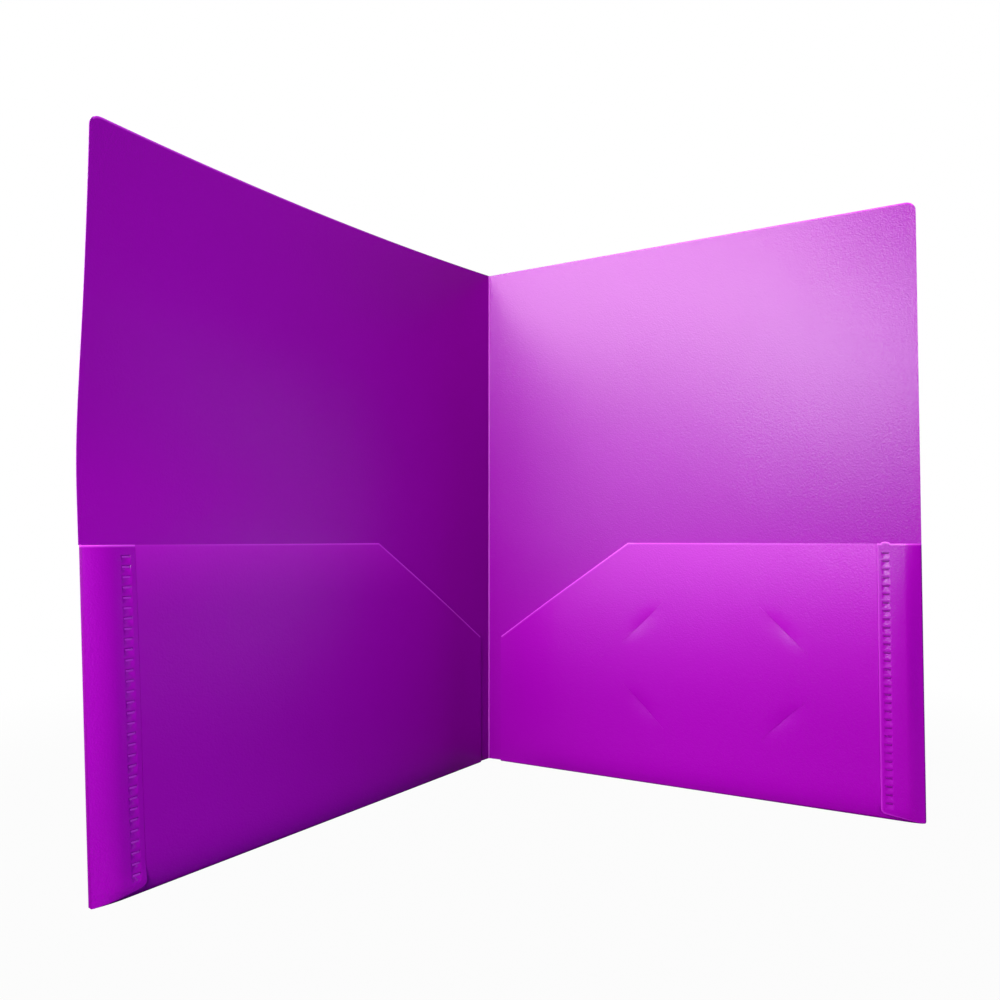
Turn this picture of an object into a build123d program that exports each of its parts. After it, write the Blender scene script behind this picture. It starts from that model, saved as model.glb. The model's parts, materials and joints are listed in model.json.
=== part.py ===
from build123d import *

import os
from math import cos, radians, sin

# Sheet and covers, in millimetres. The folder stands open on its bottom creases.
sheet = 0.45
cover_width = 235.0
cover_height = 300.0
cover_corner_radius = 4.5
open_angle = 100.5

# Spine: a round bead on the hinge axis, with the sheet thinned towards it from outside
bead_radius = 0.45
bead_clearance = 0.05
score_width = 2.2
score_web = 0.15
spine_relief = 0.4

# Pocket outline on each cover, measured from the spine and from the floor
pocket_height = 133.0
pocket_setback = 8.4
slant_run = 81.1
slant_drop = 57.5
pocket_corner_radius = 2.5
mouth_corner_radius = 1.0

# Clear gap between cover and pocket panel, closed at the spine and widest under the side flap
gap_at_spine = 0.2
gap_at_flap = 3.2

# Side flap: folded round the outer edge, over the pocket panel
flap_width = 19.2
flap_seat_width = 7.2
flap_corner_radius = 2.5
flap_mitre_rise = 3.6
side_fold_radius = 0.5
side_fold_foot = 0.3
panel_edge_clearance = 0.5
notch_clearance = 0.1
seat_clearance = 0.1

# Weld stitches, sunk in windows along the flap
stitch_inset = 15.5
stitch_width = 3.6
stitch_height = 1.1
stitch_thickness = 0.15
stitch_clearance = 0.1
stitch_pitch = 4.0
stitch_top_margin = 4.0
stitch_bottom_margin = 7.0

# Card slits in the right pocket, at 45 degrees across the corners of a card
card_width = 88.9
card_height = 50.8
card_centre_past_middle = 17.7
card_centre_height = 65.8
slit_inset_along = 7.45
slit_inset_up = 2.6
slit_length = 32.5
slit_width = 0.3
slit_angle = 45.0

# Bow of the left cover: outward lean of its outer edge, and the belly of its top edge
lean_at_pocket_top = 13.0
lean_above_pocket = 14.7
lean_peak = 16.2
lean_waist = 12.3
lean_at_top = 10.8
top_bow = 6.6
share_above_pocket = 0.10
share_at_peak = 0.23
share_at_waist = 0.61

# Reach of the cutting outlines past the sheet, on either side
cut_margin = 5.0

# Values worked out from the sizes above
half_angle = radians(open_angle / 2)
spine_x = lean_peak * cos(half_angle) / 2
spine_y = cover_width * cos(half_angle) / 2
spine_start = bead_radius + bead_clearance
score_end = spine_start + score_width
fold_start = cover_width - side_fold_radius - sheet
flap_inner = cover_width - flap_width
flap_bend = flap_inner + flap_seat_width
panel_end = fold_start - panel_edge_clearance
mouth_start = pocket_setback + slant_run
shoulder_height = pocket_height - slant_drop
stitch_middle = cover_width - stitch_inset
stitch_span = pocket_height - stitch_top_margin - stitch_bottom_margin - stitch_height
stitch_count = int(stitch_span // stitch_pitch) + 1
card_centre = cover_width / 2 + card_centre_past_middle
cut_reach = lean_peak + gap_at_flap + cut_margin
free_height = cover_height - pocket_height

LEFT = -1
RIGHT = 1
SIDE_NAMES = {LEFT: "left", RIGHT: "right"}


def along(side):
    """Direction from the spine to the outer edge of a cover."""
    return Vector(side * sin(half_angle), -cos(half_angle), 0)


def inward(side):
    """Normal of a cover's base plane, towards the inside of the folder."""
    return Vector(-side * cos(half_angle), -sin(half_angle), 0)


def lean_in_pocket(side, z):
    """Outward lean of the outer edge at a height within the pocket."""
    return lean_at_pocket_top * z / pocket_height if side == LEFT else 0.0


def place(side, u, n, z, lean, bow=0.0):
    """Point at a distance u from the spine and n inside the inner face, at height z."""
    share = u / cover_width
    offset = n - lean * share - 4 * bow * share * (1 - share)
    return Vector(spine_x, spine_y, z) + along(side) * u + inward(side) * offset


def cover_plane(side):
    """Base plane of a cover: X runs along the cover and Y runs up."""
    return Plane(origin=(spine_x, spine_y, 0), x_dir=along(side), z_dir=inward(side) * side)


def gap_at(u):
    """Clear gap between cover and pocket panel, which dips with the flap towards the side fold."""
    if u <= flap_bend:
        share = (u - pocket_setback) / (flap_bend - pocket_setback)
        return gap_at_spine + (gap_at_flap - gap_at_spine) * share
    gap_at_fold = 2 * side_fold_radius - sheet - seat_clearance
    share = (u - flap_bend) / (fold_start - flap_bend)
    return gap_at_flap + (gap_at_fold - gap_at_flap) * share


def fold_radius(u):
    """Outer radius of the bottom fold, which is also where cover and panel start."""
    return gap_at(u) / 2 + sheet


def flap_seat(u):
    """Height of the side flap's underside over the cover, where it lies on the panel."""
    return gap_at(u) + sheet + seat_clearance


def stitch_middles():
    """Places of the weld stitches on the cover, from the top down."""
    highest = pocket_height - stitch_top_margin - stitch_height / 2
    return [(stitch_middle, highest - step * stitch_pitch) for step in range(stitch_count)]


def plan_section(side, outline, z):
    """Horizontal section of a pocket piece, from (u, n) corners."""
    lean = lean_in_pocket(side, z)
    corners = [place(side, u, n, z, lean) for u, n in outline]
    with BuildSketch(Plane.XY.offset(z)) as section:
        with BuildLine():
            Polyline(*[(spot.X, spot.Y) for spot in corners], close=True)
        make_face()
    return section.sketch


def sheet_outline():
    """Plan corners of a cover sheet, run past the outline that trims it: both faces and the score."""
    return [
        (0, 0),
        (cover_width + cut_margin, 0),
        (cover_width + cut_margin, -sheet),
        (score_end, -sheet),
        (0, -score_web),
    ]


def bowed_section(z, lean, bow):
    """Horizontal section of the left cover above the pocket."""

    def spot(u, n):
        point = place(LEFT, u, n, z, lean, bow)
        return (point.X, point.Y)

    root, tip, back_tip, back_root, web = [spot(u, n) for u, n in sheet_outline()]
    inner_middle = spot(cover_width / 2, 0)
    outer_middle = spot(cover_width / 2, -sheet)
    with BuildSketch(Plane.XY.offset(z)) as section:
        with BuildLine():
            ThreePointArc(root, inner_middle, tip)
            Line(tip, back_tip)
            ThreePointArc(back_tip, outer_middle, back_root)
            Polyline(back_root, web, root)
        make_face()
    return section.sketch


def cover_outline(side):
    """Front outline of a cover: creases at the bottom, notch for the side fold, round corner."""
    with BuildSketch(cover_plane(side)) as outline:
        with BuildLine():
            Polyline(
                (spine_start, spine_relief),
                (pocket_setback, fold_radius(pocket_setback)),
                (flap_bend, fold_radius(flap_bend)),
                (panel_end + notch_clearance, fold_radius(panel_end + notch_clearance)),
                (panel_end + notch_clearance, side_fold_foot),
                (fold_start, side_fold_foot),
                (fold_start, pocket_height + notch_clearance),
                (cover_width, pocket_height + notch_clearance),
                (cover_width, cover_height),
                (spine_start, cover_height),
                close=True,
            )
        make_face()
        outer_top = outline.vertices().group_by(Axis.Y)[-1].sort_by(Axis.X)[-1]
        fillet(outer_top, radius=cover_corner_radius)
    return outline.sketch


def pocket_outline(side):
    """Front outline of a pocket panel, with the slanted cut towards the spine."""
    with BuildSketch(cover_plane(side)) as outline:
        with BuildLine():
            Polyline(
                (pocket_setback, fold_radius(pocket_setback)),
                (flap_bend, fold_radius(flap_bend)),
                (panel_end, fold_radius(panel_end)),
                (panel_end, pocket_height),
                (mouth_start, pocket_height),
                (pocket_setback, shoulder_height),
                close=True,
            )
        make_face()
        mouth_corner = outline.vertices().group_by(Axis.Y)[-1].sort_by(Axis.X)[0]
        shoulder_corner = outline.vertices().group_by(Axis.X)[0].sort_by(Axis.Y)[-1]
        fillet(shoulder_corner, radius=pocket_corner_radius)
        fillet(mouth_corner, radius=mouth_corner_radius)
    return outline.sketch


def card_slits(side):
    """Four slits across the corners of a card, in the plane of a cover."""
    reach_along = card_width / 2 - slit_inset_along
    reach_up = card_height / 2 - slit_inset_up
    with BuildSketch(cover_plane(side)) as slits:
        for step_along in (-1, 1):
            for step_up in (-1, 1):
                middle_along = card_centre + step_along * reach_along
                middle_up = card_centre_height + step_up * reach_up
                with Locations((middle_along, middle_up)):
                    SlotOverall(slit_length, slit_width, rotation=-step_along * step_up * slit_angle)
    return slits.sketch


def flap_outline(side):
    """Front outline of a side flap, mitred at the bottom, with a window round each weld stitch."""
    with BuildSketch(cover_plane(side)) as outline:
        with BuildLine():
            Polyline(
                (flap_inner, flap_mitre_rise),
                (fold_start, side_fold_foot),
                (fold_start, pocket_height),
                (flap_inner, pocket_height),
                close=True,
            )
        make_face()
        inner_bottom = outline.vertices().group_by(Axis.X)[0].sort_by(Axis.Y)[0]
        fillet(inner_bottom, radius=flap_corner_radius)
        with Locations(*stitch_middles()):
            Rectangle(
                stitch_width + 2 * stitch_clearance,
                stitch_height + 2 * stitch_clearance,
                mode=Mode.SUBTRACT,
            )
    return outline.sketch


def panel_corners():
    """Plan corners of a pocket panel: straight to the flap's bend, then down towards the side fold."""
    back = [(u, gap_at(u)) for u in (pocket_setback, flap_bend, panel_end)]
    front = [(u, n + sheet) for u, n in reversed(back)]
    return back + front


def flap_corners():
    """Plan corners of a side flap: flat on the panel, then sloping down to the side fold."""
    return [
        (flap_inner, flap_seat(flap_inner)),
        (flap_bend, flap_seat(flap_bend)),
        (fold_start, 2 * side_fold_radius),
        (fold_start, 2 * side_fold_radius + sheet),
        (flap_bend, flap_seat(flap_bend) + sheet),
        (flap_inner, flap_seat(flap_inner) + sheet),
    ]


def stitch_corners():
    """Plan corners of one weld stitch, over the panel and below the flap's face."""
    ends = (stitch_middle - stitch_width / 2, stitch_middle + stitch_width / 2)
    foot = [(u, flap_seat(u) + stitch_clearance) for u in ends]
    face = [(u, n + stitch_thickness) for u, n in reversed(foot)]
    return foot + face


def side_fold_section(side, z):
    """Half ring round the outer edge, from the cover to the side flap."""
    lean = lean_in_pocket(side, z)

    def spot(u, n):
        point = place(side, u, n, z, lean)
        return (point.X, point.Y)

    middle = side_fold_radius
    far = 2 * side_fold_radius
    with BuildSketch(Plane.XY.offset(z)) as section:
        with BuildLine():
            ThreePointArc(spot(fold_start, 0), spot(fold_start + middle, middle), spot(fold_start, far))
            Line(spot(fold_start, far), spot(fold_start, far + sheet))
            ThreePointArc(spot(fold_start, far + sheet), spot(cover_width, middle), spot(fold_start, -sheet))
            Line(spot(fold_start, -sheet), spot(fold_start, 0))
        make_face()
    return section.sketch


def bottom_fold_section(side, u):
    """Half ring under the pocket, from the cover to the panel, at a distance from the spine."""
    gap = gap_at(u)
    top = fold_radius(u)

    def spot(n, z):
        return (n - lean_in_pocket(side, z) * u / cover_width, z)

    origin = place(side, u, 0, 0, 0)
    with BuildSketch(Plane(origin=origin, x_dir=inward(side), z_dir=along(side) * -side)) as section:
        with BuildLine():
            ThreePointArc(spot(0, top), spot(gap / 2, sheet), spot(gap, top))
            Line(spot(gap, top), spot(gap + sheet, top))
            ThreePointArc(spot(gap + sheet, top), spot(gap / 2, 0), spot(-sheet, top))
            Line(spot(-sheet, top), spot(0, top))
        make_face()
    return section.sketch


os.makedirs("parts", exist_ok=True)

# Right cover: a flat sheet, thinned towards the spine
with BuildPart() as right_cover:
    extrude(plan_section(RIGHT, sheet_outline(), 0), amount=cover_height)
    extrude(cover_outline(RIGHT), amount=cut_reach, both=True, mode=Mode.INTERSECT)
right_cover.part.label = "right_cover"
export_step(right_cover.part, "parts/right_cover.step")

# Left cover: leans out evenly beside its pocket and bows freely above it
free_stations = [
    (share_above_pocket, lean_above_pocket),
    (share_at_peak, lean_peak),
    (share_at_waist, lean_waist),
    (1.0, lean_at_top),
]
with BuildPart() as left_cover:
    pocket_top = plan_section(LEFT, sheet_outline(), pocket_height)
    loft([plan_section(LEFT, sheet_outline(), 0), pocket_top], ruled=True)
    bowed = [
        bowed_section(pocket_height + share * free_height, lean, top_bow * share)
        for share, lean in free_stations
    ]
    loft([pocket_top, *bowed])
    extrude(cover_outline(LEFT), amount=cut_reach, both=True, mode=Mode.INTERSECT)
left_cover.part.label = "left_cover"
export_step(left_cover.part, "parts/left_cover.step")

# Spine: the coined crease on the hinge axis
with BuildPart() as spine_crease:
    with BuildSketch(Plane.XY.offset(spine_relief)):
        with Locations((spine_x, spine_y)):
            Circle(bead_radius)
    extrude(amount=cover_height - spine_relief)
spine_crease.part.label = "spine_crease"
export_step(spine_crease.part, "parts/spine_crease.step")

for side, name in SIDE_NAMES.items():
    # Pocket panel, with card slits on the right only
    with BuildPart() as pocket:
        loft([plan_section(side, panel_corners(), z) for z in (0, pocket_height)], ruled=True)
        extrude(pocket_outline(side), amount=cut_reach, both=True, mode=Mode.INTERSECT)
        if side == RIGHT:
            extrude(card_slits(side), amount=cut_reach, both=True, mode=Mode.SUBTRACT)
    pocket.part.label = f"{name}_pocket"
    export_step(pocket.part, f"parts/{name}_pocket.step")

    # Bottom crease, tight at the spine and rounder at the outer side
    with BuildPart() as bottom_fold:
        loft([bottom_fold_section(side, u) for u in (pocket_setback, flap_bend, panel_end)], ruled=True)
    bottom_fold.part.label = f"{name}_bottom_fold"
    export_step(bottom_fold.part, f"parts/{name}_bottom_fold.step")

    # Side flap over the pocket panel
    with BuildPart() as side_flap:
        loft([plan_section(side, flap_corners(), z) for z in (0, pocket_height)], ruled=True)
        extrude(flap_outline(side), amount=cut_reach, both=True, mode=Mode.INTERSECT)
    side_flap.part.label = f"{name}_side_flap"
    export_step(side_flap.part, f"parts/{name}_side_flap.step")

    # Side crease round the outer edge
    with BuildPart() as side_fold:
        loft([side_fold_section(side, z) for z in (side_fold_foot, pocket_height)], ruled=True)
    side_fold.part.label = f"{name}_side_fold"
    export_step(side_fold.part, f"parts/{name}_side_fold.step")

    # Weld stitches that hold the flap to the panel
    with BuildPart() as weld_row:
        for _, middle in stitch_middles():
            ends = (middle - stitch_height / 2, middle + stitch_height / 2)
            loft([plan_section(side, stitch_corners(), z) for z in ends], ruled=True)
    weld_row.part.label = f"{name}_weld_row"
    export_step(weld_row.part, f"parts/{name}_weld_row.step")
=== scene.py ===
"""Two pocket folder of purple polypropylene sheet, scored, folded, welded and standing open.

Each panel starts as a flat blank: u runs from the spine along a cover, y is the thickness and z is up.
The blank is trimmed, thickened and cut into a grid, and then bent to where it lies on the folder.
"""

import json
from collections import namedtuple
from math import atan2, cos, exp, hypot, pi, radians, sin, sqrt, tan

import bmesh
import bpy
from bpy.props import FloatProperty, FloatVectorProperty, IntProperty, PointerProperty
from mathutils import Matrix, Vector


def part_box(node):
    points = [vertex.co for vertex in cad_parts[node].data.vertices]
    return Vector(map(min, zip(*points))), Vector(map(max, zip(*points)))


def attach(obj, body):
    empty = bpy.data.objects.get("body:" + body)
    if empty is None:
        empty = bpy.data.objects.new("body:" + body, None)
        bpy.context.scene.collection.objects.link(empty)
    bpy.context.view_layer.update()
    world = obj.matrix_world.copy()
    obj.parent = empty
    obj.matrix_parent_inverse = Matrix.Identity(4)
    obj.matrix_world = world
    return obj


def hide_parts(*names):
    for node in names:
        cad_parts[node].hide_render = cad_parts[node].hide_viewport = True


bl_info = {
    "name": "Two Pocket Folder",
    "version": (1, 0, 0),
    "blender": (4, 5, 0),
    "location": "View3D > Sidebar > Folder",
    "description": "Builds a two pocket folder from flat sheet blanks on a measured frame",
    "category": "Object",
}

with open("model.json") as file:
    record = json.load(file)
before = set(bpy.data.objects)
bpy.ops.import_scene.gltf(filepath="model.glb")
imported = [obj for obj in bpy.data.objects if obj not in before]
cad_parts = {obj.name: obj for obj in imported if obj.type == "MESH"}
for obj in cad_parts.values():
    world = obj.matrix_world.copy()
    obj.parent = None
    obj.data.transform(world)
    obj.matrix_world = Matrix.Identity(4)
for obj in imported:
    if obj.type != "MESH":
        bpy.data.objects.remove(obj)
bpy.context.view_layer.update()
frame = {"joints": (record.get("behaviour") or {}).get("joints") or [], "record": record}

MM = 0.001
LEFT = -1
RIGHT = 1
SIDES = {LEFT: "left", RIGHT: "right"}
ACROSS = Vector((1, 0, 0))
UP = Vector((0, 0, 1))

# Places and sizes that the frame gives
MOUNTS = {mount["name"]: mount for mount in frame["record"]["mounts"]}
BACK_NORMAL = Vector(MOUNTS["back_cover_face"]["axis"])
HALF_ANGLE = atan2(BACK_NORMAL.y, BACK_NORMAL.x)
SPINE = Vector(frame["joints"][0]["pos_m"])
COVER_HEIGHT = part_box("right_cover")[1].z
COVER_WIDTH = (SPINE.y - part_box("right_cover")[0].y) / cos(HALF_ANGLE)
POCKET_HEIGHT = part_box("right_pocket")[1].z

# Fineness of the meshes
GRID_STEP = 5 * MM
CUT_SNAP = 0.001 * MM
MERGE_DISTANCE = 0.002 * MM
CORNER_SEGMENTS = 8
FOLD_SEGMENTS = 14
EDGE_SEGMENTS = 2
BEAD_SEGMENTS = 3
BEAD_SIDES = 20
DIP_STEP = 1 * MM
LIP_STEP = 4 * MM
LIP_SHARES = (0, 0.15, 0.35, 0.65, 1)
SLOPE_STEP = 0.01 * MM
SMOOTH_ANGLE = radians(42)

# Shares and rates in the shapes
BELLY_GROWTH = 1.5
FOOT_FADE = 3
PIT_SPREAD = 0.2
PIT_BEAT = 2.3
NUGGET_ROUNDING = 0.8
BEAD_ROUNDING = 1 / 3

# Faces of the sheet, and the patterns in its colour and its grain, with how the painted glow at the pocket
# mouths fades
Face = namedtuple("Face", "roughness sheen grain")
COVER_FACE = Face(roughness=0.27, sheen=0.42, grain=0.8)
POCKET_FACE = Face(roughness=0.27, sheen=0.36, grain=0.8)
PRESSED_FACE = Face(roughness=0.4, sheen=0.1, grain=0.2)
# The left weld nuggets' face, under their painted highlight
LEFT_WELD_FACE = Face(roughness=0.3, sheen=0.4, grain=0.2)
COINED_FACE = Face(roughness=0.5, sheen=0.3, grain=0.3)
CLOUD_SCALE = 14
CLOUD_DETAIL = 3
PAINTED_GLOW_FADE = 1.5
GRAIN_SCALE = 1400
GRAIN_DETAIL = 2
GRAIN_DEPTH = 0.12 * MM

# Studio: lights, those of them that are too dull for a reflection, floor and camera
LIGHTS = ("key", "front", "wall", "card", "side")
DULL_CARDS = ("wall", "side")
FLOOR_HALF = 6
FLOOR_ROUGHNESS = 0.9
HORIZON_FADE = 0.3
SENSOR_WIDTH = 36
NEAREST_SEEN = 10 * MM


def length(label, text, millimetres):
    """A length property, with its default given in millimetres."""
    return FloatProperty(name=label, description=text, default=millimetres * MM, unit="LENGTH", precision=5)


def colour(label, text, shade):
    """A colour property, in linear light."""
    return FloatVectorProperty(
        name=label, description=text, default=shade, subtype="COLOR", size=3, min=0, max=1
    )


def share_of_one(label, text, amount):
    """A property between nothing and all."""
    return FloatProperty(name=label, description=text, default=amount, subtype="FACTOR", min=0, max=1)


def stand(label, text, millimetres):
    """A place property, with its default given in millimetres."""
    default = [value * MM for value in millimetres]
    return FloatVectorProperty(name=label, description=text, default=default, subtype="TRANSLATION", size=3)


def width_height(label, light, millimetres):
    """The size of a light, with its default given in millimetres."""
    text = f"Width and height of {light}"
    default = [value * MM for value in millimetres]
    return FloatVectorProperty(name=label, description=text, default=default, unit="LENGTH", size=2)


def angle(label, text, degrees):
    """An angle property, with its default given in degrees."""
    return FloatProperty(name=label, description=text, default=radians(degrees), subtype="ANGLE")


def watts(label, text, power):
    """A power property."""
    return FloatProperty(name=label, description=text, default=power, unit="POWER", min=0)


class FolderSheet(bpy.types.PropertyGroup):
    """Sizes of the sheet, the covers and the spine."""

    thickness: length("Thickness", "Thickness of the sheet", 0.45)
    corner_radius: length("Corner radius", "Rounding of the top outer corners", 4.5)
    edge_round: length("Edge rounding", "Rounding of the die-cut edges", 0.1)
    # Cut edges carry a painted highlight of light catching them, fading over this strip
    edge_strip: length("Edge strip", "Width over which a cut edge glows", 1.0)
    spine_start: length("Spine start", "Distance from the hinge axis to a cover", 0.5)
    spine_relief: length("Spine relief", "Height of the covers' foot beside the spine", 0.4)
    bead_radius: length("Bead radius", "Radius of the coined crease on the hinge axis", 0.45)
    score_end: length("Score end", "Distance from the hinge axis to the full thickness", 2.7)
    score_web: length("Score web", "Thickness of the sheet at the hinge axis", 0.1)


class FolderPocket(bpy.types.PropertyGroup):
    """Sizes of the pockets, their folds and the card slits."""

    setback: length("Setback", "Distance from the spine to the pocket", 8.4)
    slant_run: length("Slant run", "Length of the slanted cut along the cover", 81.1)
    slant_drop: length("Slant drop", "Height of the slanted cut", 57.5)
    shoulder_radius: length("Shoulder radius", "Rounding at the foot of the slant", 2.5)
    mouth_radius: length("Mouth radius", "Rounding at the top of the slant", 1.0)
    gap_at_spine: length("Gap at spine", "Clear gap behind the panel at the spine", 0.2)
    left_gap: length("Left gap", "Clear gap behind the left panel at its flap", 3.2)
    right_gap: length("Right gap", "Clear gap behind the right panel at its flap", 2.0)
    swell_run: length("Swell run", "Distance from the panel's spine side to its full belly", 40.0)
    edge_clearance: length("Edge clearance", "Distance from the side fold to the panel", 0.5)
    left_belly: length("Left belly", "Rise of the left panel's belly at half its height", 0.8)
    right_belly: length("Right belly", "Rise of the right panel's belly at half its height", 2.6)
    bulge: length("Bulge", "Rise of the panel's roll above its bottom fold", 1.1)
    bulge_height: length("Bulge height", "Height of that roll above the floor", 8.0)
    card_past_middle: length("Card place", "Middle of the card slits past the cover's middle", 17.7)
    card_height: length("Card height", "Middle of the card slits above the floor", 65.8)
    slit_reach_along: length("Slit reach along", "Slit middles from the card's middle, along", 37.0)
    slit_reach_up: length("Slit reach up", "Slit middles from the card's middle, up", 22.8)
    slit_length: length("Slit length", "Length of a card slit", 32.5)
    slit_width: length("Slit width", "Width of a card slit", 0.08)
    dent_depth: length("Dent depth", "Depth of the dent at the lips of a slit", 0.6)
    dent_reach: length("Dent reach", "Distance over which a lip flattens out", 8.0)
    cell_margin: length("Cell margin", "Room round a slit that is cut finely", 2.5)


class FolderFlap(bpy.types.PropertyGroup):
    """Sizes of the side flaps, the side folds and the welds."""

    width: length("Flap width", "Width of a side flap", 19.2)
    left_seat: length("Left seat", "Width of the left flap that lies on the panel", 7.2)
    right_seat: length("Right seat", "Width of the right flap that lies on the panel", 10.4)
    seat_clearance: length("Seat clearance", "Gap between panel and flap", 0.1)
    mitre_rise: length("Mitre rise", "Rise of the flap's slanted bottom edge", 3.6)
    corner_radius: length("Corner radius", "Rounding of the flap's bottom corner", 2.5)
    fold_radius: length("Fold radius", "Inner radius of the side fold", 0.5)
    fold_foot: length("Fold foot", "Height of the side fold above the floor", 0.3)
    foot_radius: length("Foot radius", "Rounding of the folder's bottom outer corner", 1.2)
    spring_angle: angle("Spring angle", "Angle at which the flap springs open from its fold", 24)
    lip_width: length("Lip width", "Width of the flap's pressed inner edge", 0.6)
    lip_drop: length("Lip drop", "Depth to which that edge is pressed", 0.15)
    # Painted highlight along the right flap's inner edge, a share of the cut edges' one
    lip_highlight: share_of_one("Lip glow", "Share of the cut edges' glow at the right flap's inner edge", 0.35)
    left_sink: length("Left sink", "Depth of the left flap in its panel", 0.55)
    right_sink: length("Right sink", "Depth of the right flap in its panel", 0.3)
    sink_reach: length("Sink reach", "Width over which the panel slopes down to the flap", 0.15)
    corner_lift: length("Corner lift", "Rise of the flap's lower corner off the panel", 1.0)
    corner_reach: length("Corner reach", "Height over which that corner flattens out", 12.0)
    weld_inset: length("Weld inset", "Middle of the welds from the outer edge", 15.5)
    weld_width: length("Weld width", "Width of a weld pit", 3.6)
    weld_height: length("Weld height", "Height of a weld nugget with the wall round it", 1.4)
    weld_ramp: length("Weld ramp", "Height over which a pit runs out below its nugget", 1.8)
    weld_pitch: length("Weld pitch", "Distance between weld pits", 4.0)
    weld_depth: length("Weld depth", "Depth of a weld pit", 0.3)
    weld_wall: length("Weld wall", "Width of a pit's sloping wall", 0.25)
    ramp_depth: length("Ramp depth", "Depth of a pit at the lower end of its ramp", 0.05)
    nugget_wall: length("Nugget wall", "Gap round the remelted nugget in a pit", 0.1)
    nugget_rise: length("Nugget rise", "Height of that nugget over the pit's floor", 0.12)
    weld_top_margin: length("Weld margin", "Distance of the first pit from the top", 4.0)
    weld_count: IntProperty(name="Weld count", description="Number of weld pits in a row", default=31, min=1)
    nub_width: length("Nub width", "Width of the squeezed nub above the right welds", 4.2)
    nub_height: length("Nub height", "Height of that nub over the pocket's edge", 0.9)


class FolderBow(bpy.types.PropertyGroup):
    """Outward lean of the left cover's outer edge, and the belly of its top edge."""

    at_pocket: length("Lean at pocket", "Lean at the top of the pocket", 13.0)
    at_peak: length("Lean at peak", "Largest lean", 16.2)
    at_waist: length("Lean at waist", "Lean where the edge turns back", 12.3)
    at_top: length("Lean at top", "Lean at the top corner", 10.2)
    belly: length("Belly", "Outward belly of the top edge", 6.9)
    peak_height: length("Peak height", "Height of the largest lean", 171.4)
    waist_height: length("Waist height", "Height where the edge turns back", 234.9)
    waist_slope: FloatProperty(
        name="Waist slope", description="Slope of the edge at the waist", default=-0.05
    )


class FolderFinish(bpy.types.PropertyGroup):
    """Colours of the sheet, with painted highlight, glow and shade among them, and the reach of the painted
    glow at its mouths.
    """

    sheet: colour("Sheet", "Purple of the sheet", (0.32, 0.0, 0.42))
    sheet_light: colour("Sheet, light", "Lighter cloud in the sheet", (0.35, 0.0, 0.46))
    # The double sheet of the pockets and flaps is painted lighter than the covers: partly its own colour,
    # partly a painted lift for light scattered through both layers
    pocket: colour("Pocket", "Purple of the pockets and flaps", (0.36, 0.0, 0.47))
    # Painted glow: the pockets are painted this lighter purple towards their mouths, standing in for light
    # that gets in there
    mouth: colour("Mouth", "Purple of the pockets at their mouth", (0.47, 0.005, 0.58))
    left_painted_glow: length("Left mouth", "Depth of the left mouth's lighter purple", 30)
    right_painted_glow: length("Right mouth", "Depth of the right mouth's lighter purple", 90)
    # Painted highlight: bright pink along the cut edges, standing in for light catching them
    cut_edge: colour("Cut edge", "Glow of a die-cut edge", (0.88, 0.07, 1.0))
    # Painted shade: the folds are painted this dark purple, standing in for the shade under and round them
    crease: colour("Crease", "Sheet stretched over a fold", (0.17, 0.0, 0.22))
    # Painted shade: the right weld nuggets are painted near black, standing in for the shade inside their
    # pits
    weld: colour("Weld", "Remelted sheet in the right welds", (0.05, 0.0, 0.065))
    # Painted highlight: the left weld nuggets are painted this light purple, standing in for the light
    # caught by their pit walls
    weld_highlight: colour("Weld, light", "Whitened sheet in the left welds", (0.52, 0.03, 0.66))
    spine: colour("Spine", "Stress-whitened spine", (0.50, 0.08, 0.64))


class FolderStudio(bpy.types.PropertyGroup):
    """Camera, lights and floor."""

    camera_place: stand("Camera place", "Where the camera stands", (-90.1, -380.0, 135.6))
    camera_heading: angle("Camera heading", "Turn of the camera to the right", 13.2)
    camera_pitch: angle("Camera pitch", "Tilt of the camera upwards", 1.8)
    camera_lens: FloatProperty(name="Lens", description="Focal length in millimetres", default=26.95)
    camera_shift: FloatVectorProperty(
        name="Shift", description="Shift of the picture", default=(-0.0071, 0.0147), size=2
    )
    key_place: stand("Key place", "Where the key softbox hangs, upper left", (-560, -400, 570))
    key_size: width_height("Key size", "the key softbox", (600, 340))
    key_power: watts("Key", "Power of the key softbox", 7.3)
    front_place: stand("Front place", "Where the front softbox stands, by the camera", (-380, -700, 400))
    front_size: width_height("Front size", "the front softbox", (300, 200))
    front_power: watts("Front", "Power of the front softbox", 2.4)
    wall_place: stand("Wall place", "Where the dull wall card hangs, left", (-560, -400, 340))
    wall_size: width_height("Wall size", "the wall card", (600, 240))
    wall_power: watts("Wall", "Light from the wall card", 2.2)
    card_place: stand("Card place", "Where the low reflector card stands, left", (-720, -450, 210))
    card_size: width_height("Card size", "the reflector card", (450, 160))
    card_power: watts("Card", "Light from the reflector card", 0.56)
    side_place: stand("Side place", "Where the low side card stands, right", (846, -308, 200))
    side_size: width_height("Side size", "the side card", (350, 300))
    side_power: watts("Side", "Light from the side card", 3.4)
    side_tint: colour("Side tint", "Cool light of the side card", (0.6, 0.8, 1.0))
    key_tint: colour("Key tint", "Warm light of the key softbox", (1.0, 0.92, 0.84))
    fill_tint: colour("Fill tint", "Cool light of the front softbox and the left cards", (0.95, 0.97, 1.0))
    rear_place: stand("Rear place", "Where the right rear softbox hangs; its twin is left", (620, 700, 620))
    rear_size: width_height("Rear size", "a rear softbox", (700, 700))
    rear_power: watts("Rear", "Power of a rear softbox", 5)
    ambient: share_of_one("Ambient", "Strength of the light from all round", 0.05)
    floor: colour("Floor", "Colour of the floor", (0.06, 0.06, 0.06))
    floor_white: share_of_one("Floor white", "Share of white that the floor shows beside its shadow", 0.97)
    shadow_reach: length("Shadow reach", "Distance over which the floor's shadow fades out", 520)


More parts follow.
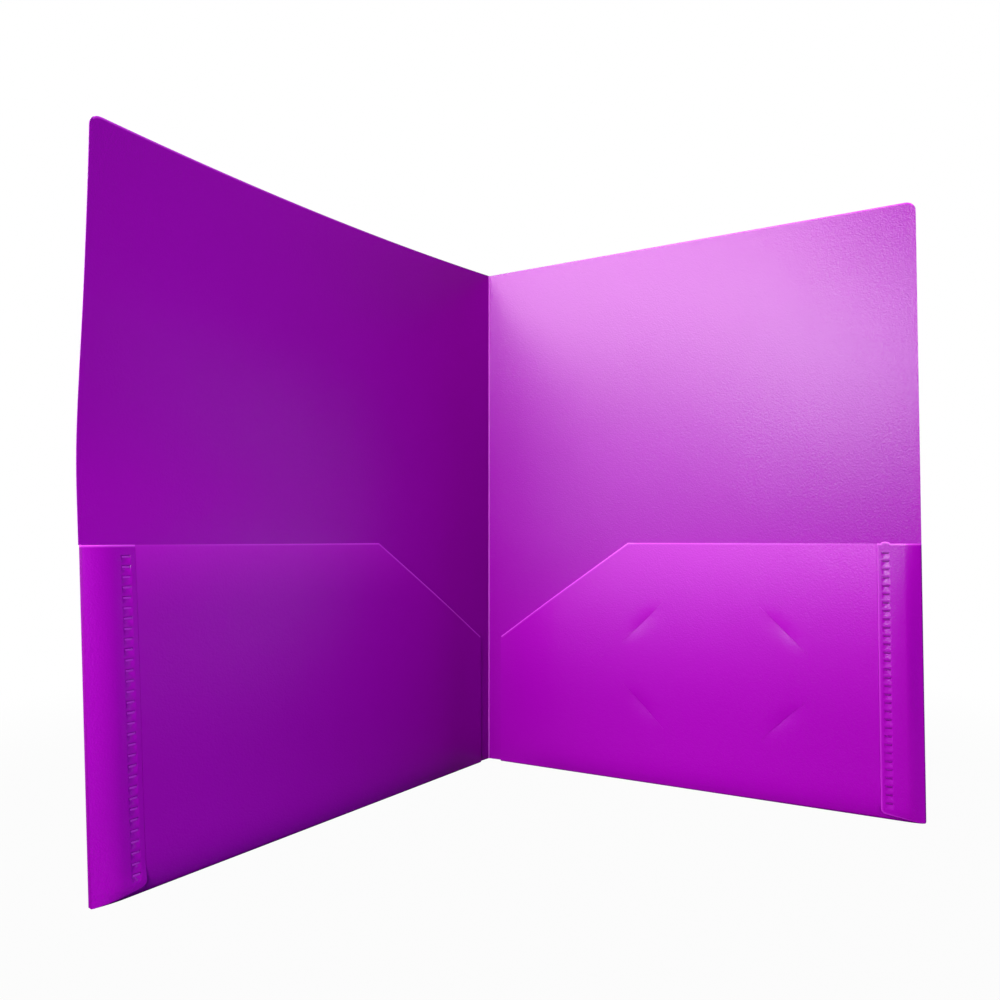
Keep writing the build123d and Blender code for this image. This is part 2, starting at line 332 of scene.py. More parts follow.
GROUPS = {
    "folder_sheet": FolderSheet,
    "folder_pocket": FolderPocket,
    "folder_flap": FolderFlap,
    "folder_bow": FolderBow,
    "folder_finish": FolderFinish,
    "folder_studio": FolderStudio,
}


def sizes(group):
    """The sizes of one group."""
    return getattr(bpy.context.scene, f"folder_{group}")


# Where the parts of a half lie, in distances from the spine and the floor


def along(side):
    """Direction from the spine to the outer edge of a cover."""
    return Vector((side * sin(HALF_ANGLE), -cos(HALF_ANGLE), 0))


def inward(side):
    """Normal of a cover, towards the inside of the folder."""
    return Vector((-side * cos(HALF_ANGLE), -sin(HALF_ANGLE), 0))


def ease(share):
    """Smooth step from 0 to 1."""
    share = min(max(share, 0), 1)
    return share * share * (3 - 2 * share)


def curve_between(x, start, end):
    """Cubic from one (place, height, slope) to another."""
    span = end[0] - start[0]
    t = (x - start[0]) / span
    rise = ease(t)
    leave = t * (1 - t) ** 2
    arrive = t * t * (t - 1)
    return start[1] * (1 - rise) + end[1] * rise + span * (start[2] * leave + end[2] * arrive)


def lean_at(side, z):
    """Outward lean of a cover's outer edge."""
    if side == RIGHT:
        return 0
    bow = sizes("bow")
    if z <= POCKET_HEIGHT:
        return bow.at_pocket * z / POCKET_HEIGHT
    stations = [
        (POCKET_HEIGHT, bow.at_pocket, bow.at_pocket / POCKET_HEIGHT),
        (bow.peak_height, bow.at_peak, 0),
        (bow.waist_height, bow.at_waist, bow.waist_slope),
        (COVER_HEIGHT, bow.at_top, 0),
    ]
    for start, end in zip(stations, stations[1:]):
        if z <= end[0]:
            break
    return curve_between(z, start, end)


def belly_at(side, z):
    """Outward belly of a cover between the spine and its outer edge."""
    if side == RIGHT or z <= POCKET_HEIGHT:
        return 0
    share = (z - POCKET_HEIGHT) / (COVER_HEIGHT - POCKET_HEIGHT)
    return sizes("bow").belly * share ** BELLY_GROWTH


def place(side, u, n, z):
    """Point at u from the spine, n inside the cover's inner face and z above the floor."""
    share = u / COVER_WIDTH
    offset = n - lean_at(side, z) * share - 4 * belly_at(side, z) * share * (1 - share)
    return SPINE + along(side) * u + inward(side) * offset + UP * z


def fold_start():
    """Distance from the spine at which the side fold starts."""
    return COVER_WIDTH - sizes("flap").fold_radius - sizes("sheet").thickness


def panel_end():
    """Outer end of a pocket panel, under the flap."""
    return fold_start() - sizes("pocket").edge_clearance


def fold_end():
    """Distance from the spine and height at which the side fold passes into the flap."""
    flap = sizes("flap")
    reach = flap.fold_radius * sin(flap.spring_angle)
    rise = flap.fold_radius * (1 + cos(flap.spring_angle))
    return fold_start() + reach, rise


def flap_inner():
    """Inner edge of a side flap."""
    return COVER_WIDTH - sizes("flap").width


def flap_bend(side):
    """Distance from the spine at which flap and panel start to curve down to the side fold."""
    flap = sizes("flap")
    return flap_inner() + (flap.left_seat if side == LEFT else flap.right_seat)


def flap_lift():
    """Height of the flap's underside over the panel's."""
    return sizes("sheet").thickness + sizes("flap").seat_clearance


def gap_at(side, u):
    """Clear gap between cover and pocket panel, widest at the flap's bend."""
    pocket = sizes("pocket")
    bend_start = flap_bend(side)
    widest = pocket.left_gap if side == LEFT else pocket.right_gap
    slope = (widest - pocket.gap_at_spine) / (bend_start - pocket.setback)
    if u <= bend_start:
        return pocket.gap_at_spine + slope * (u - pocket.setback)
    end, rise = fold_end()
    finish = (end, rise - flap_lift(), -tan(sizes("flap").spring_angle))
    return curve_between(u, (bend_start, widest, slope), finish)


def fold_top(side, u):
    """Height at which the bottom fold passes into cover and panel."""
    return gap_at(side, u) / 2 + sizes("sheet").thickness


def panel_height(side, u, z):
    """Height of the panel's underside over the cover, with its belly and the roll above its fold."""
    pocket = sizes("pocket")
    flap = sizes("flap")
    above = max(z - fold_top(side, u), 0)
    rise = above / pocket.bulge_height
    belly, depth = (
        (pocket.left_belly, flap.left_sink) if side == LEFT else (pocket.right_belly, flap.right_sink)
    )
    swell = pocket.bulge * rise * exp(1 - rise) + belly * sin(pi * min(above / POCKET_HEIGHT, 1))
    swell *= ease((u - pocket.setback) / pocket.swell_run)
    end, _ = fold_end()
    sunk = depth * ease(rise) * ease((u - flap_inner() + flap.sink_reach) / flap.sink_reach)
    return gap_at(side, u) + (swell - sunk) * ease((end - u) / (end - flap_bend(side)))


def foot_lift(u, z):
    """Rise of the bottom outer corner, where it is rounded."""
    flap = sizes("flap")
    past = max(u - COVER_WIDTH + flap.foot_radius, 0)
    fade = max(1 - (z - flap.fold_foot) / (FOOT_FADE * flap.foot_radius), 0)
    return fade * (flap.foot_radius - sqrt(max(flap.foot_radius ** 2 - past ** 2, 0)))


def weld_heights():
    """Middle heights of the weld pits, from the top down."""
    flap = sizes("flap")
    first = POCKET_HEIGHT - flap.weld_top_margin - flap.weld_height / 2
    return [first - step * flap.weld_pitch for step in range(flap.weld_count)]


def weld_middle():
    """Distance of the weld row from the spine."""
    return COVER_WIDTH - sizes("flap").weld_inset


# Making and bending blanks


def blank(corners):
    """Flat blank from its (u, z) corners."""
    bm = bmesh.new()
    bm.faces.new([bm.verts.new((u, 0, z)) for u, z in corners])
    bm.verts.layers.float.new("cut_edge")
    return bm


def with_corners(faces):
    """Faces with their edges and vertices."""
    edges = {edge for face in faces for edge in face.edges}
    verts = {vert for face in faces for vert in face.verts}
    return [*verts, *edges, *faces]


def cut_at(bm, direction, spots, within=None):
    """Cuts a mesh, or only the faces whose middle is within some part of it, across a direction."""
    for spot in spots:
        faces = [face for face in bm.faces if not within or within(face.calc_center_median())]
        bmesh.ops.bisect_plane(
            bm, geom=with_corners(faces), dist=CUT_SNAP, plane_co=direction * spot, plane_no=direction
        )


def steps(start, end, step):
    """Evenly spaced spots between two ends, without the ends."""
    count = max(round((end - start) / step), 1)
    return [start + (end - start) * i / count for i in range(1, count)]


def cut_grid(bm):
    """Cuts a blank into a grid that can bend."""
    for direction in (ACROSS, UP):
        places = [vert.co.dot(direction) for vert in bm.verts]
        cut_at(bm, direction, steps(min(places), max(places), GRID_STEP))


def round_off(bm, geom, offset, affect, segments):
    """Rounds corners or edges of a mesh."""
    bmesh.ops.bevel(
        bm, geom=geom, offset=offset, offset_type="OFFSET", affect=affect,
        segments=segments, profile=0.5, material=-1,
    )


def round_corner(bm, u, z, radius):
    """Rounds the corner of a flat blank nearest to a place."""
    corner = min(bm.verts, key=lambda vert: (vert.co - Vector((u, 0, z))).length)
    first, second = [edge.other_vert(corner).co - corner.co for edge in corner.link_edges]
    round_off(bm, [corner], radius / tan(first.angle(second) / 2), "VERTICES", CORNER_SEGMENTS)


def strip_edges(bm, highlight_at):
    """Marks how much painted highlight each edge of a flat blank gets, with a strip along it over which that
    highlight fades.
    """
    mark = bm.verts.layers.float["cut_edge"]
    for vert in bm.verts:
        vert[mark] = highlight_at(vert.co.x, vert.co.z)
    bmesh.ops.inset_region(
        bm, faces=bm.faces[:], thickness=sizes("sheet").edge_strip, use_even_offset=True, use_boundary=True
    )
    for vert in bm.verts:
        if not vert.is_boundary:
            vert[mark] = 0.0


def thicken(bm, amount):
    """Gives a flat blank its thickness."""
    raised = bmesh.ops.extrude_face_region(bm, geom=bm.faces[:])["geom"]
    verts = [item for item in raised if isinstance(item, bmesh.types.BMVert)]
    bmesh.ops.translate(bm, verts=verts, vec=(0, amount, 0))
    bmesh.ops.recalc_face_normals(bm, faces=bm.faces[:])


def soften_edges(bm):
    """Rounds the long edges of the die cut."""
    mark = bm.verts.layers.float["cut_edge"]
    sharp = [
        edge
        for edge in bm.edges
        if all(vert[mark] == 1 for vert in edge.verts)
        and abs(edge.verts[0].co.y - edge.verts[1].co.y) < CUT_SNAP
        and edge.calc_face_angle(0) > SMOOTH_ANGLE
    ]
    round_off(bm, sharp, sizes("sheet").edge_round, "EDGES", EDGE_SEGMENTS)


def bend(bm, mapping):
    """Moves each vertex of a blank from (u, thickness, z) to its place on the folder."""
    for vert in bm.verts:
        vert.co = mapping(*vert.co)


def add_object(name, data):
    """Puts an object into the scene."""
    made = bpy.data.objects.new(name, data)
    bpy.context.collection.objects.link(made)
    return made


def add_mesh(bm, name, material):
    """Puts a finished mesh into the scene."""
    mesh = bpy.data.meshes.new(name)
    bm.to_mesh(mesh)
    bm.free()
    mesh.materials.append(material)
    return add_object(name, mesh)


def make_piece(bm, name, side, slot, material, *nodes):
    """Turns a finished mesh into a piece that rides on its half and stands for its nodes."""
    bmesh.ops.remove_doubles(bm, verts=bm.verts[:], dist=MERGE_DISTANCE)
    bmesh.ops.recalc_face_normals(bm, faces=bm.faces[:])
    piece = add_mesh(bm, name, material)
    mesh = piece.data
    if not mesh.polygons:
        raise RuntimeError(f"{name} has no faces")
    mesh.polygons.foreach_set("use_smooth", [True] * len(mesh.polygons))
    mesh.set_sharp_from_angle(angle=SMOOTH_ANGLE)
    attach(piece, f"{SIDES[side]}_half")
    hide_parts(*nodes)


# Shapes of the pieces


def bottom_line(side):
    """Line along which the bottom fold joins cover and panel."""
    start = sizes("pocket").setback
    bend_start = flap_bend(side)
    end = panel_end()
    spots = (start, bend_start, *steps(bend_start, end, DIP_STEP), end)
    return [(u, fold_top(side, u)) for u in spots]


def cover_blank(side):
    """Flat cover with its notch for the side fold and its round top corner."""
    sheet = sizes("sheet")
    flap = sizes("flap")
    bm = blank([
        (sheet.spine_start, sheet.spine_relief),
        *bottom_line(side),
        (panel_end(), flap.fold_foot),
        (fold_start(), flap.fold_foot),
        (fold_start(), POCKET_HEIGHT),
        (COVER_WIDTH, POCKET_HEIGHT),
        (COVER_WIDTH, COVER_HEIGHT),
        (sheet.spine_start, COVER_HEIGHT),
    ])
    round_corner(bm, COVER_WIDTH, COVER_HEIGHT, sheet.corner_radius)
    return bm


def build_cover(side):
    """Cover sheet: bowed on the left, thinned from outside towards the spine."""
    sheet = sizes("sheet")
    bm = cover_blank(side)
    # The top edge carries the painted highlight, with the upper third of its rounded corner
    highlight_foot = COVER_HEIGHT - sheet.corner_radius / 3
    strip_edges(bm, lambda u, z: z > highlight_foot and u > sheet.score_end)
    thicken(bm, -sheet.thickness)
    soften_edges(bm)
    cut_at(bm, ACROSS, [sheet.score_end])
    cut_grid(bm)

    def mapping(u, n, z):
        if u < sheet.score_end:
            n *= 1 - (1 - sheet.score_web / sheet.thickness) * (1 - u / sheet.score_end)
        return place(side, u, n, z)

    bend(bm, mapping)
    return bm


def slit_frames():
    """Middle, direction and inner normal of each card slit, on the flat panel."""
    pocket = sizes("pocket")
    middle = Vector((COVER_WIDTH / 2 + pocket.card_past_middle, 0, pocket.card_height))
    frames = []
    for step_along in (-1, 1):
        for step_up in (-1, 1):
            offset = Vector((step_along * pocket.slit_reach_along, 0, step_up * pocket.slit_reach_up))
            inner = Vector((-step_along, 0, -step_up)).normalized()
            direction = Vector((step_up, 0, -step_along)).normalized()
            frames.append((middle + offset, direction, inner))
    return frames


def slit_offset(spot, slit):
    """Place along and across a slit of a spot on the flat panel."""
    middle, direction, inner = slit
    return (spot - middle).dot(direction), (spot - middle).dot(inner)


def cut_slits(bm):
    """Cuts the four card slits through a flat panel, each in a square cell of its own."""
    pocket = sizes("pocket")
    half_length = pocket.slit_length / 2
    half_width = pocket.slit_width / 2
    cell = half_length + pocket.cell_margin
    for middle, _, _ in slit_frames():
        cut_at(bm, ACROSS, [middle.x - cell, middle.x + cell])
        cut_at(bm, UP, [middle.z - cell, middle.z + cell])
    for slit in slit_frames():
        middle, direction, inner = slit

        def in_cell(spot):
            return max(abs(spot.x - middle.x), abs(spot.z - middle.z)) < cell

        base = middle.dot(inner)
        lips = [half_width + share * pocket.dent_reach for share in LIP_SHARES]
        cut_at(bm, inner, [base + sign * spot for spot in lips for sign in (-1, 1)], in_cell)
        base = middle.dot(direction)
        ends = (base - half_length, base + half_length)
        cut_at(bm, direction, [*ends, *steps(*ends, LIP_STEP)], in_cell)
        strip = []
        for face in bm.faces:
            a, b = slit_offset(face.calc_center_median(), slit)
            if abs(a) < half_length and abs(b) < half_width:
                strip.append(face)
        bmesh.ops.delete(bm, geom=strip, context="FACES")


def dent_at(u, z):
    """Depth to which the card has pressed in the lips of a slit."""
    pocket = sizes("pocket")
    for slit in slit_frames():
        a, b = slit_offset(Vector((u, 0, z)), slit)
        if abs(b) < pocket.dent_reach and abs(a) < pocket.slit_length / 2:
            along_slit = cos(pi * a / pocket.slit_length) ** 2
            across_slit = (1 - abs(b) / pocket.dent_reach) ** 2
            return pocket.dent_depth * along_slit * across_slit
    return 0


def build_pocket(side):
    """Pocket panel with its slanted cut, and with card slits on the right."""
    sheet = sizes("sheet")
    pocket = sizes("pocket")
    flap = sizes("flap")
    start = pocket.setback
    end = panel_end()
    shoulder = POCKET_HEIGHT - pocket.slant_drop
    mouth = start + pocket.slant_run
    bm = blank([
        *bottom_line(side),
        (end, POCKET_HEIGHT),
        (mouth, POCKET_HEIGHT),
        (start, shoulder),
    ])
    round_corner(bm, mouth, POCKET_HEIGHT, pocket.mouth_radius)
    round_corner(bm, start, shoulder, pocket.shoulder_radius)
    # The top and slanted edges get the painted edge highlight
    strip_edges(bm, lambda u, z: z > shoulder and u < end - sheet.edge_strip)
    if side == RIGHT:
        cut_slits(bm)
    thicken(bm, sheet.thickness)
    soften_edges(bm)
    cut_grid(bm)
    cut_at(bm, ACROSS, steps(flap_bend(side), end, DIP_STEP))
    sink_end = flap_inner()
    sink_start = sink_end - flap.sink_reach
    cut_at(bm, ACROSS, [sink_start, *steps(sink_start, sink_end, flap.sink_reach / 2), sink_end])

    def mapping(u, n, z):
        dent = dent_at(u, z) if side == RIGHT else 0
        return place(side, u, panel_height(side, u, z) - dent + n, z)

    bend(bm, mapping)
    return bm


def build_bottom_fold(side):
    """Rounded crease under a pocket, from the cover to the panel."""
    start = sizes("pocket").setback
    end = panel_end()
    bm = blank([(start, 0), (end, 0), (end, 1), (start, 1)])
    thicken(bm, sizes("sheet").thickness)
    bend_start = flap_bend(side)
    cut_at(bm, ACROSS, [*steps(start, bend_start, GRID_STEP), bend_start, *steps(bend_start, end, DIP_STEP)])
    cut_at(bm, UP, steps(0, 1, 1 / FOLD_SEGMENTS))

    def mapping(u, n, share):
        radius = gap_at(side, u) / 2 + n
        turn = pi * share
        middle = gap_at(side, u) / 2
        return place(side, u, middle - radius * cos(turn), fold_top(side, u) - radius * sin(turn))

    bend(bm, mapping)
    return bm


def build_side_fold(side):
    """Rounded crease round the outer edge, from the cover to the flap."""
    flap = sizes("flap")
    bm = blank([
        (0, flap.fold_foot),
        (1, flap.fold_foot),
        (1, POCKET_HEIGHT),
        (0, POCKET_HEIGHT),
    ])
    thicken(bm, sizes("sheet").thickness)
    cut_at(bm, ACROSS, steps(0, 1, 1 / FOLD_SEGMENTS))
    foot_top = (FOOT_FADE + 1) * flap.foot_radius
    cut_at(bm, UP, steps(flap.fold_foot, foot_top, DIP_STEP))
    cut_at(bm, UP, steps(foot_top, POCKET_HEIGHT, GRID_STEP))
    cut_at(bm, UP, [POCKET_HEIGHT - sizes("sheet").edge_strip])
    # The top end gets the painted edge highlight
    mark = bm.verts.layers.float["cut_edge"]
    for vert in bm.verts:
        vert[mark] = 1.0 if vert.co.z > POCKET_HEIGHT - CUT_SNAP else 0.0

    def mapping(share, n, z):
        radius = flap.fold_radius + n
        turn = (pi - flap.spring_angle) * share
        u = fold_start() + radius * sin(turn)
        return place(side, u, flap.fold_radius - radius * cos(turn), z + foot_lift(u, z))

    bend(bm, mapping)
    return bm


def nub_outline():
    """Half round nub that the last weld squeezed out over the pocket's edge, from the outer side."""
    flap = sizes("flap")
    turns = [pi * step / CORNER_SEGMENTS for step in range(CORNER_SEGMENTS + 1)]
    return [
        (weld_middle() + flap.nub_width / 2 * cos(turn), POCKET_HEIGHT + flap.nub_height * sin(turn))
        for turn in turns
    ]


def sink_welds(bm):
    """Presses the weld pits into a flap's face, each running out below its nugget, not all alike."""
    flap = sizes("flap")
    face_level = sizes("sheet").thickness - CUT_SNAP
    sides = (weld_middle() - flap.weld_width / 2, weld_middle() + flap.weld_width / 2)
    half = flap.weld_height / 2
    cut_at(bm, ACROSS, [sides[0] - flap.weld_wall, *sides, sides[1] + flap.weld_wall])

    def in_strip(spot):
        return sides[0] < spot.x < sides[1] and spot.y > face_level

    for row, z in enumerate(weld_heights()):
        bottom = z - half - flap.weld_ramp
        cut_at(bm, UP, [bottom, z + half], in_strip)
        depth = flap.weld_depth * (1 + PIT_SPREAD * sin(PIT_BEAT * row))
        for face in [face for face in bm.faces if in_strip(face.calc_center_median())]:
            middle = face.calc_center_median().z
            if not bottom < middle < z + half:
                continue
            bmesh.ops.inset_individual(bm, faces=[face], thickness=flap.weld_wall, use_even_offset=True)
            for vert in face.verts:
                vert.co.y -= depth if vert.co.z > middle else flap.ramp_depth


def on_flap(side, u, n, z):
    """Place of a spot of the flap, with its thickness square to the flap's curve."""
    slope = (gap_at(side, u + SLOPE_STEP) - gap_at(side, u - SLOPE_STEP)) / (2 * SLOPE_STEP)
    across = n / hypot(1, slope)
    u_moved = u - slope * across
    end, _ = fold_end()
    flap = sizes("flap")
    spring = flap.corner_lift * ease(1 - z / flap.corner_reach) * ease((end - u) / (end - flap_inner()))
    height = panel_height(side, u, z) + flap_lift() + spring + across
    return place(side, u_moved, height, z + foot_lift(u_moved, z))


def build_flap(side):
    """Side flap, pressed down at its inner edge and pitted by the welds."""
    sheet = sizes("sheet")
    flap = sizes("flap")
    end, _ = fold_end()
    inner = flap_inner()
    bm = blank([
        (inner, flap.mitre_rise),
        (end, flap.fold_foot),
        (end, POCKET_HEIGHT),
        *(nub_outline() if side == RIGHT else ()),
        (inner, POCKET_HEIGHT),
    ])
    round_corner(bm, inner, flap.mitre_rise, flap.corner_radius)
    cut_at(bm, UP, [POCKET_HEIGHT - sheet.edge_strip])

    # The top edge gets the painted edge highlight, and on the right the inner edge a share of it
    def highlight_at(u, z):
        if z > POCKET_HEIGHT - CUT_SNAP:
            return 1
        return flap.lip_highlight if side == RIGHT and u < inner + flap.corner_radius else 0

    strip_edges(bm, highlight_at)
    thicken(bm, sheet.thickness)
    soften_edges(bm)
    sink_welds(bm)
    cut_at(bm, ACROSS, steps(inner, inner + 2 * flap.lip_width, flap.lip_width / 2))
    cut_at(bm, ACROSS, steps(flap_bend(side), end, DIP_STEP))
    cut_at(bm, UP, steps(0, POCKET_HEIGHT, GRID_STEP / 2))

    def mapping(u, n, z):
        press = flap.lip_drop * (1 - ease((u - inner) / flap.lip_width)) if side == RIGHT else 0
        return on_flap(side, u, n * (1 - press / sheet.thickness), z)

    bend(bm, mapping)
    return bm


def build_weld_row(side):
    """Row of remelted nuggets on the floors of the weld pits, painted dark on the right as painted shade and
    light on the left as a painted highlight.
    """
    sheet = sizes("sheet")
    flap = sizes("flap")
    bm = bmesh.new()
    wall = flap.weld_wall + flap.nugget_wall
    size = Vector((flap.weld_width - 2 * wall, 2 * flap.nugget_rise, flap.weld_height - 2 * wall))
    for z in weld_heights():
        made = bmesh.ops.create_cube(bm, size=1)["verts"]
        bmesh.ops.scale(bm, vec=size, verts=made)
        bmesh.ops.translate(bm, vec=(weld_middle(), sheet.thickness - flap.weld_depth, z), verts=made)
    round_off(bm, bm.edges[:], flap.nugget_rise * NUGGET_ROUNDING, "EDGES", BEAD_SEGMENTS)
    bend(bm, lambda u, n, z: on_flap(side, u, n, z))
    return bm


def build_spine():
    """Coined bead on the hinge axis."""
    sheet = sizes("sheet")
    bm = bmesh.new()
    height = COVER_HEIGHT - sheet.spine_relief
    radius = sheet.bead_radius
    bmesh.ops.create_cone(
        bm, cap_ends=True, segments=BEAD_SIDES, radius1=radius, radius2=radius, depth=height
    )
    rims = [edge for edge in bm.edges if abs(edge.verts[0].co.z - edge.verts[1].co.z) < CUT_SNAP]
    round_off(bm, rims, radius * BEAD_ROUNDING, "EDGES", BEAD_SEGMENTS)
    cut_at(bm, UP, steps(-height / 2, height / 2, GRID_STEP))
    bmesh.ops.translate(bm, vec=SPINE + UP * (sheet.spine_relief + height / 2), verts=bm.verts[:])
    return bm


# Finishes


def blend(tree, factor, over):
    """Mix node that turns to a plain colour where a socket is 1."""
    mix = tree.nodes.new("ShaderNodeMix")
    mix.data_type = "RGBA"
    mix.inputs["B"].default_value = (*over, 1)
    tree.links.new(factor, mix.inputs["Factor"])
    return mix


def noise(tree, position, scale, detail):
    """Socket of a noise pattern."""
    pattern = tree.nodes.new("ShaderNodeTexNoise")
    pattern.inputs["Scale"].default_value = scale
    pattern.inputs["Detail"].default_value = detail
    tree.links.new(position, pattern.inputs["Vector"])
    return pattern.outputs["Fac"]


def coordinate(tree, position, axis):
    """Socket of one coordinate of a place."""
    split = tree.nodes.new("ShaderNodeSeparateXYZ")
    tree.links.new(position, split.inputs[0])
    return split.outputs[axis]


def ramp(tree, value, start, end):
    """Node that rises from 0 to 1 as a value goes from start to end."""
    rise = tree.nodes.new("ShaderNodeMapRange")
    rise.inputs["From Min"].default_value = start
    rise.inputs["From Max"].default_value = end
    tree.links.new(value, rise.inputs["Value"])
    return rise


def combine(tree, operation, first, second):
    """Socket of two sockets' values put together."""
    result = tree.nodes.new("ShaderNodeMath")
    result.operation = operation
    tree.links.new(first, result.inputs[0])
    tree.links.new(second, result.inputs[1])
    return result.outputs[0]


def painted_mouth_glow(tree, position, reach):
    """Socket that rises to 1 at the mouth of a pocket, where the colour is painted lighter as a painted
    glow.
    """
    near = ramp(tree, coordinate(tree, position, "Z"), POCKET_HEIGHT - reach, POCKET_HEIGHT)
    fade = tree.nodes.new("ShaderNodeMath")
    fade.operation = "POWER"
    fade.inputs[1].default_value = PAINTED_GLOW_FADE
    tree.links.new(near.outputs["Result"], fade.inputs[0])
    return fade.outputs[0]


def sheet_material(name, tint, light_tint, face, painted_glow_reach=None):
    """Polypropylene sheet: cloudy colour, a painted highlight along die-cut edges, a painted glow at pocket
    mouths where asked, and a fine matte grain.
    """
    finish = bpy.context.scene.folder_finish
    material = bpy.data.materials.new(name)
    material.use_nodes = True
    tree = material.node_tree
    shader = tree.nodes["Principled BSDF"]
    shader.inputs["Roughness"].default_value = face.roughness
    shader.inputs["Specular IOR Level"].default_value = face.sheen

    position = tree.nodes.new("ShaderNodeTexCoord").outputs["Object"]
    edge = tree.nodes.new("ShaderNodeAttribute")
    edge.attribute_name = "cut_edge"
    # Painted light over the cloudy purple: the glow towards a pocket's mouth, then the cut edges' highlight
    layers = [(edge.outputs["Fac"], finish.cut_edge)]
    if painted_glow_reach:
        layers.insert(0, (painted_mouth_glow(tree, position, painted_glow_reach), finish.mouth))
    top = blend(tree, noise(tree, position, CLOUD_SCALE, CLOUD_DETAIL), light_tint)
    top.inputs["A"].default_value = (*tint, 1)
    for factor, shade in layers:
        under = top.outputs["Result"]
        top = blend(tree, factor, shade)
        tree.links.new(under, top.inputs["A"])
    tree.links.new(top.outputs["Result"], shader.inputs["Base Color"])

    bump = tree.nodes.new("ShaderNodeBump")
    bump.inputs["Strength"].default_value = face.grain
    bump.inputs["Distance"].default_value = GRAIN_DEPTH
    tree.links.new(noise(tree, position, GRAIN_SCALE, GRAIN_DETAIL), bump.inputs["Height"])
    tree.links.new(bump.outputs["Normal"], shader.inputs["Normal"])
    return material


def finish_for(name):
    """Material of a piece, made once."""
    finish = bpy.context.scene.folder_finish
    made = bpy.data.materials.get(f"folder_{name}")
    if made:
        return made
    recipes = {
        "sheet": (finish.sheet, finish.sheet_light, COVER_FACE),
        # Pockets and flaps take the lighter pocket purple; the pockets also get the painted glow towards
        # their mouths
        "left_pocket": (finish.pocket, finish.sheet_light, POCKET_FACE, finish.left_painted_glow),
        "right_pocket": (finish.pocket, finish.sheet_light, POCKET_FACE, finish.right_painted_glow),
        "flap": (finish.pocket, finish.sheet_light, POCKET_FACE),
        # The folds take the dark crease purple, a painted shade
        "crease": (finish.crease, finish.sheet, PRESSED_FACE),
        # The left welds take the light weld colour, a painted highlight
        "left_weld": (finish.weld_highlight, finish.weld_highlight, LEFT_WELD_FACE),
        # The right welds take the near black weld colour, a painted shade
        "right_weld": (finish.weld, finish.sheet, PRESSED_FACE),
        # The spine's lighter cloud borrows the pink of the painted edge highlight
        "spine": (finish.spine, finish.cut_edge, COINED_FACE),
    }
    return sheet_material(f"folder_{name}", *recipes[name])


# Operators for the pieces


class FOLDER_OT_covers(bpy.types.Operator):
    """Build both covers"""

    bl_idname = "folder.covers"
    bl_label = "Covers"

    def execute(self, context):
        for side, name in SIDES.items():
            node = f"{name}_cover"
            make_piece(build_cover(side), f"{node}_sheet", side, "sheet", finish_for("sheet"), node)
        return {"FINISHED"}


class FOLDER_OT_pockets(bpy.types.Operator):
    """Build both pocket panels"""

    bl_idname = "folder.pockets"
    bl_label = "Pocket panels"

    def execute(self, context):
        for side, name in SIDES.items():
            node = f"{name}_pocket"
            make_piece(build_pocket(side), f"{node}_panel", side, "sheet", finish_for(node), node)
        return {"FINISHED"}


class FOLDER_OT_folds(bpy.types.Operator):
    """Build the bottom and side folds"""

    bl_idname = "folder.folds"
    bl_label = "Folds"

    def execute(self, context):
        builders = {"bottom": build_bottom_fold, "side": build_side_fold}
        for side, name in SIDES.items():
            for edge, build in builders.items():
                bm = build(side)
                node = f"{name}_{edge}_fold"
                make_piece(bm, f"{name}_{edge}_crease", side, "crease", finish_for("crease"), node)
        return {"FINISHED"}


class FOLDER_OT_flaps(bpy.types.Operator):
    """Build both side flaps"""

    bl_idname = "folder.flaps"
    bl_label = "Side flaps"

    def execute(self, context):
        finish = finish_for("flap")
        for side, name in SIDES.items():
            make_piece(build_flap(side), f"{name}_flap_sheet", side, "sheet", finish, f"{name}_side_flap")
        return {"FINISHED"}


class FOLDER_OT_welds(bpy.types.Operator):
    """Build both weld rows"""

    bl_idname = "folder.welds"
    bl_label = "Weld rows"

    def execute(self, context):
        for side, name in SIDES.items():
            bm = build_weld_row(side)
            weld = f"{name}_weld"
            make_piece(bm, f"{weld}_stitches", side, "weld", finish_for(weld), f"{weld}_row")
        return {"FINISHED"}


class FOLDER_OT_spine(bpy.types.Operator):
    """Build the spine bead"""

    bl_idname = "folder.spine"
    bl_label = "Spine"

    def execute(self, context):
        make_piece(build_spine(), "spine_bead", RIGHT, "spine", finish_for("spine"), "spine_crease")
        return {"FINISHED"}


# Stage


def behind_folder(tree, position, reach):
    """Socket that rises from 0 in front of the folder to 1 behind it."""
    rise = ramp(tree, coordinate(tree, position, "Y"), 0, reach)
    rise.interpolation_type = "SMOOTHSTEP"
    return rise.outputs["Result"]


def seen_directly(tree, backdrop):
    """Socket that is 1 for camera and glass rays, and for mirror rays that meet the backdrop."""
    path = tree.nodes.new("ShaderNodeLightPath")
    seen = combine(tree, "MULTIPLY", path.outputs["Is Glossy Ray"], backdrop)
    for name in ("Is Camera Ray", "Is Transmission Ray"):
        seen = combine(tree, "MAXIMUM", seen, path.outputs[name])
    return seen


